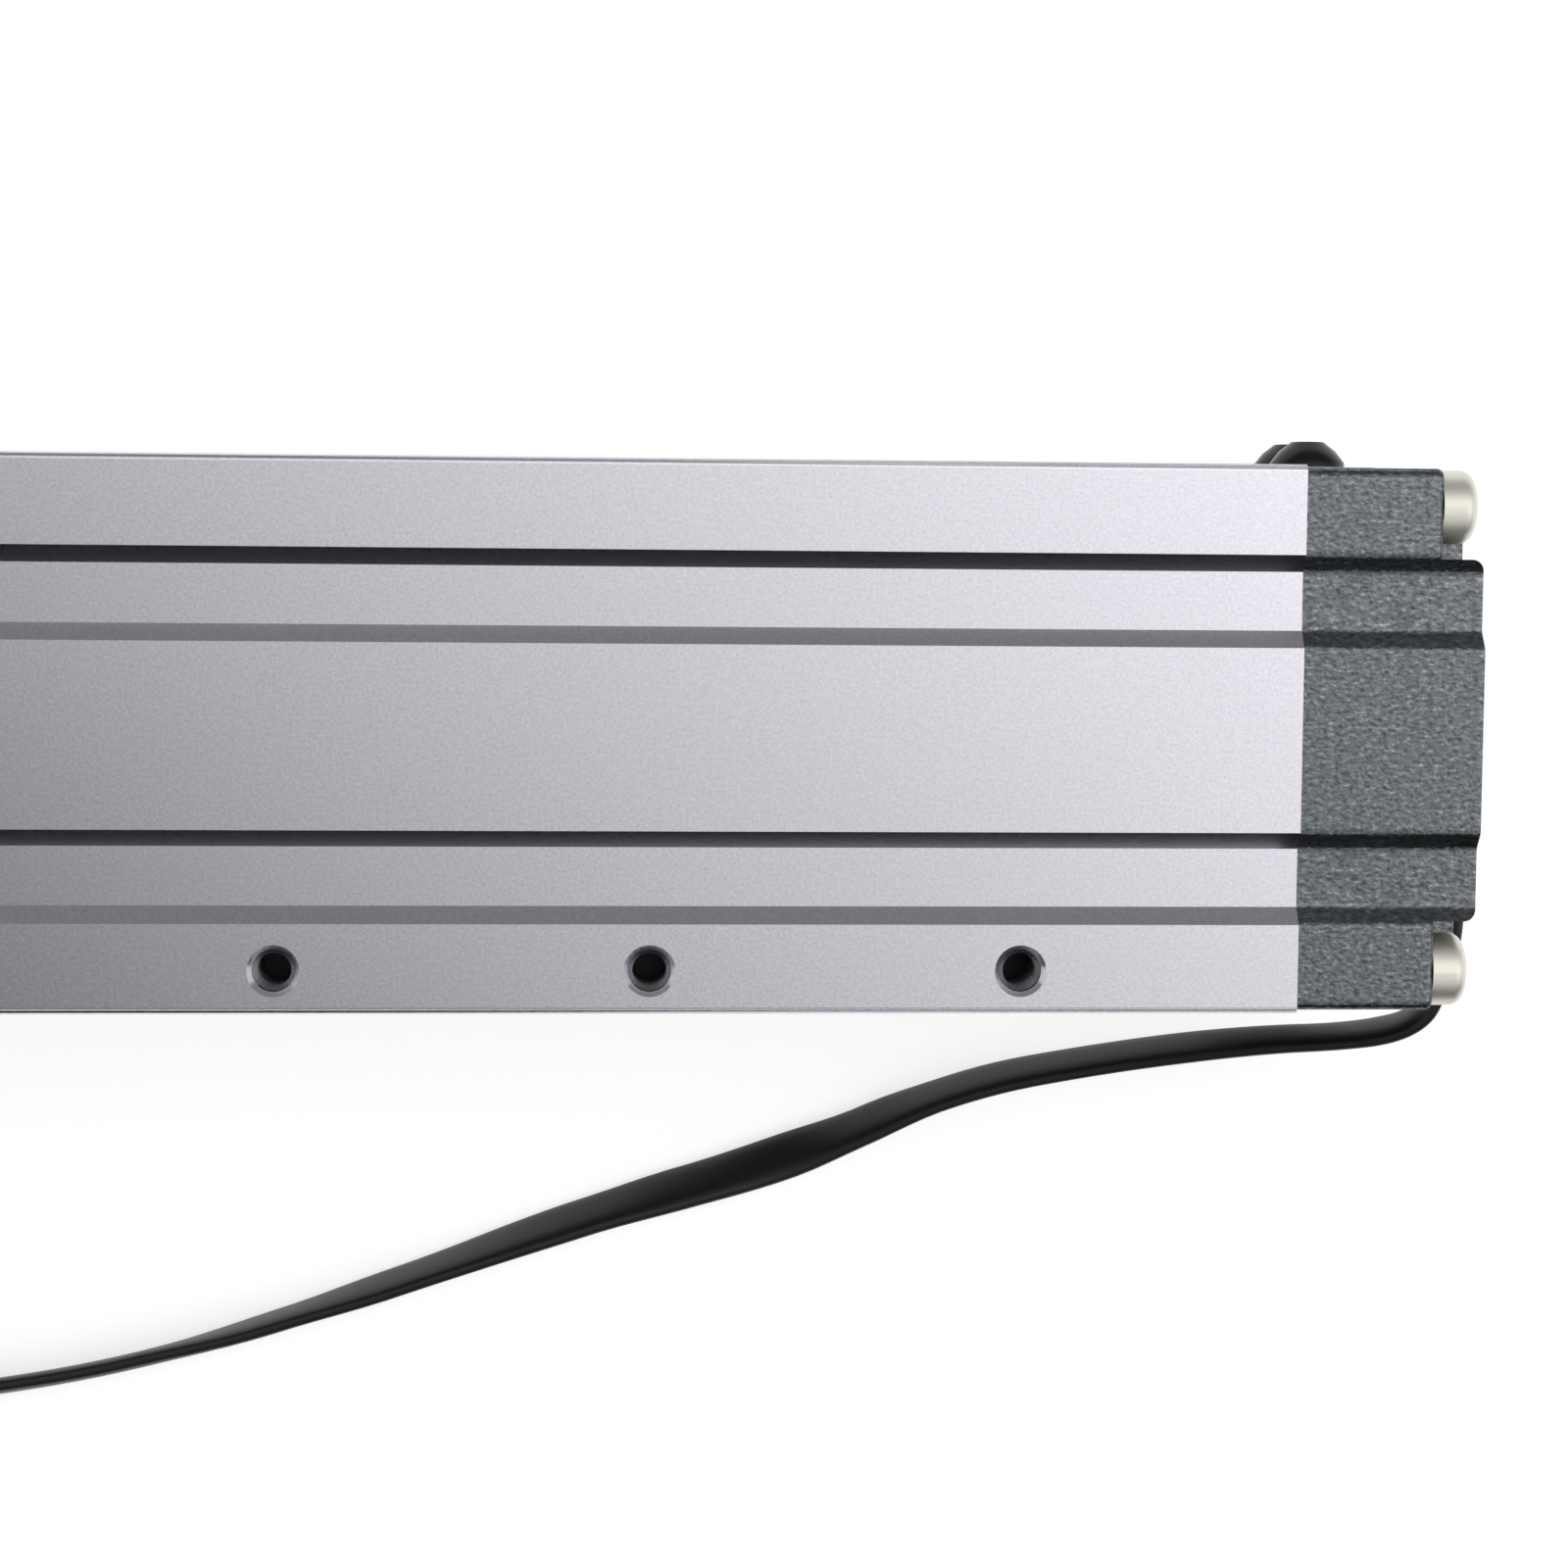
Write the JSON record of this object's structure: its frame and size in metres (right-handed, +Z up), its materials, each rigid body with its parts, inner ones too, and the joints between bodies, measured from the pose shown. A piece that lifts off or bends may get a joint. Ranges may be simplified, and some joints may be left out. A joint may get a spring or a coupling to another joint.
{
  "type": "screw linear module",
  "caption": "Enclosed screw linear module: grooved aluminium channel with black end caps, a motor-driven screw, a roller-guided carriage plate and a flat cable.",
  "frame": {"origin": "middle of the side face on which the module lies", "axes": "+X along the module towards the motor and its cable, +Y out of the carriage side, +Z up through the marked side face"},
  "size_m": [0.413, 0.1886, 0.064],
  "materials": {
    "anodised": "bead-blasted clear anodised",
    "cap": "coarse spark-eroded texture",
    "bright_screw": "nickel-plated steel",
    "black_screw": "black oxide",
    "machined": "milled aluminium",
    "steel": "ground hardened steel",
    "lamination": "blackened steel laminations",
    "brass": "turned",
    "rubber": "moulded",
    "board": "solder resist",
    "black_plastic": "moulded",
    "ribbon": "flexible circuit",
    "cable": "flat sheath"
  },
  "bodies": {
    "frame": {"body_extrusion": "anodised", "end_cap_drive": "cap", "end_cap_idle": "cap", "cap_screws_drive": "bright_screw", "cap_screws_idle": "bright_screw", "top_cover": "anodised", "cover_screws": "black_screw", "slot_seals": "rubber", "guide_rod_upper": "steel", "guide_rod_lower": "steel", "motor_mount": "machined", "mount_screws": "black_screw", "motor_front_flange": "machined", "motor_stator": "lamination", "motor_rear_bell": "machined", "motor_tie_bolts": "bright_screw", "motor_screws": "black_screw", "idle_bearing_block": "machined", "block_screws": "black_screw", "bearing_ring_front": "steel", "bearing_ring_rear": "steel", "bearing_ring_idle": "steel", "bumpers_drive": "rubber", "bumpers_idle": "rubber", "control_board": "board", "board_pillars": "brass", "board_screws": "bright_screw", "home_sensor": "black_plastic", "sensor_ribbon": "ribbon", "cable_grommet": "rubber", "cable_run": "cable", "cable_coil": "cable", "cable_tie": "black_plastic", "cable_plug": "black_plastic"},
    "carriage": {"carriage_block": "machined", "slider_plate": "anodised", "slider_screws": "black_screw", "drive_nut": "brass", "nut_screws": "black_screw", "roller_axles": "bright_screw", "roller_spacers": "machined", "home_flag": "steel"},
    "screw": {"lead_screw": "steel", "bearing_inner_rings": "steel", "screw_circlip": "black_screw", "rotor_core": "lamination"},
    "roller_drive_upper": {"roller_drive_upper": "steel"},
    "roller_drive_lower": {"roller_drive_lower": "steel"},
    "roller_idle_upper": {"roller_idle_upper": "steel"},
    "roller_idle_lower": {"roller_idle_lower": "steel"}
  },
  "joints": [
    {"name": "carriage_slide", "type": "slide", "parent": "frame", "child": "carriage", "axis": [1, 0, 0], "range_m": [-0.132, 0.132]},
    {"name": "screw_spin", "type": "hinge", "parent": "frame", "child": "screw", "pos_m": [0, 0, 0.032], "axis": [1, 0, 0], "range_deg": [-2379, 2379]},
    {"name": "roller_drive_upper_roll", "type": "hinge", "parent": "carriage", "child": "roller_drive_upper", "pos_m": [-0.006, 0, 0.05045], "axis": [0, 1, 0], "range_deg": [-1515, 1515]},
    {"name": "roller_drive_lower_roll", "type": "hinge", "parent": "carriage", "child": "roller_drive_lower", "pos_m": [-0.006, 0, 0.01355], "axis": [0, 1, 0], "range_deg": [-1515, 1515]},
    {"name": "roller_idle_upper_roll", "type": "hinge", "parent": "carriage", "child": "roller_idle_upper", "pos_m": [-0.03, 0, 0.05045], "axis": [0, 1, 0], "range_deg": [-1515, 1515]},
    {"name": "roller_idle_lower_roll", "type": "hinge", "parent": "carriage", "child": "roller_idle_lower", "pos_m": [-0.03, 0, 0.01355], "axis": [0, 1, 0], "range_deg": [-1515, 1515]}
  ],
  "couplings": [
    {"joint": "screw_spin", "follows": "carriage_slide", "rad_per_m": -314.16},
    {"joint": "roller_drive_upper_roll", "follows": "carriage_slide", "rad_per_m": -200},
    {"joint": "roller_drive_lower_roll", "follows": "carriage_slide", "rad_per_m": 200},
    {"joint": "roller_idle_upper_roll", "follows": "carriage_slide", "rad_per_m": -200},
    {"joint": "roller_idle_lower_roll", "follows": "carriage_slide", "rad_per_m": 200}
  ]
}
